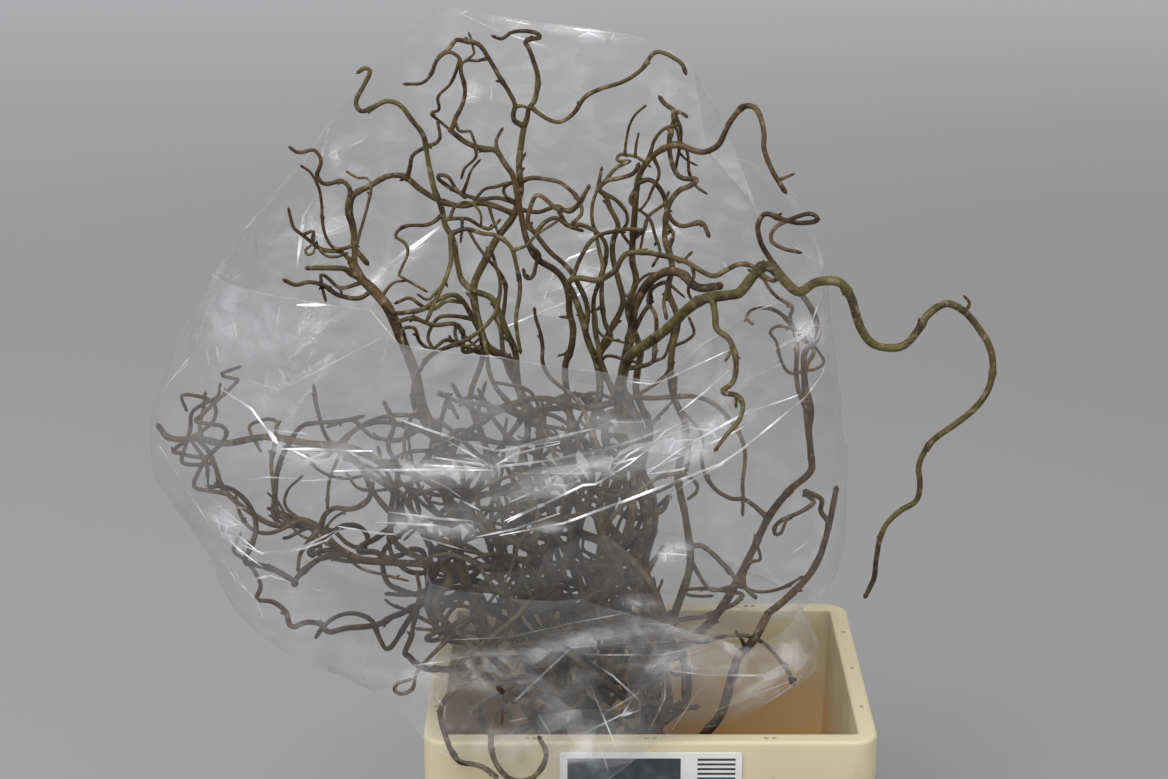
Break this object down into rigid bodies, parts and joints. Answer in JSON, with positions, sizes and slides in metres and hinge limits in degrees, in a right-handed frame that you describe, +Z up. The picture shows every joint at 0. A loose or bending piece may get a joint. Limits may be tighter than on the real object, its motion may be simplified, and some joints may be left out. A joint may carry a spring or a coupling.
{
  "type": "corkscrew hazel branches in clear sleeves in a flower crate",
  "caption": "Corkscrew hazel stems with curled side twigs, tied at the foot, in clear film sleeves, standing in a cream plastic flower crate.",
  "frame": {"origin": "middle of the crate's flat underside", "axes": "+Z up, X along the crate's long side, the labelled front faces -Y"},
  "size_m": [0.7321, 0.4458, 0.9287],
  "materials": {
    "crate_plastic": "satin moulded polyethylene, scuffed",
    "label_card": "blank coated card",
    "tie_rubber": "matt natural rubber",
    "clear_film": "clear glossy wrapping film, crumpled",
    "hazel_bark": "thin olive-brown bark with pores and buds"
  },
  "bodies": {
    "root": {"crate": "crate_plastic", "label_plate": "label_card", "tie_band": "tie_rubber", "main_sleeve": "clear_film", "lower_sleeve": "clear_film", "stem_arch": "hazel_bark", "stem_cluster": "hazel_bark", "stem_curled": "hazel_bark", "stem_dark": "hazel_bark", "stem_front": "hazel_bark", "stem_green": "hazel_bark", "stem_knot": "hazel_bark", "stem_left": "hazel_bark", "stem_long": "hazel_bark", "stem_low": "hazel_bark", "stem_side": "hazel_bark", "stem_thick": "hazel_bark", "stem_upright": "hazel_bark", "stem_wavy": "hazel_bark"}
  },
  "joints": []
}
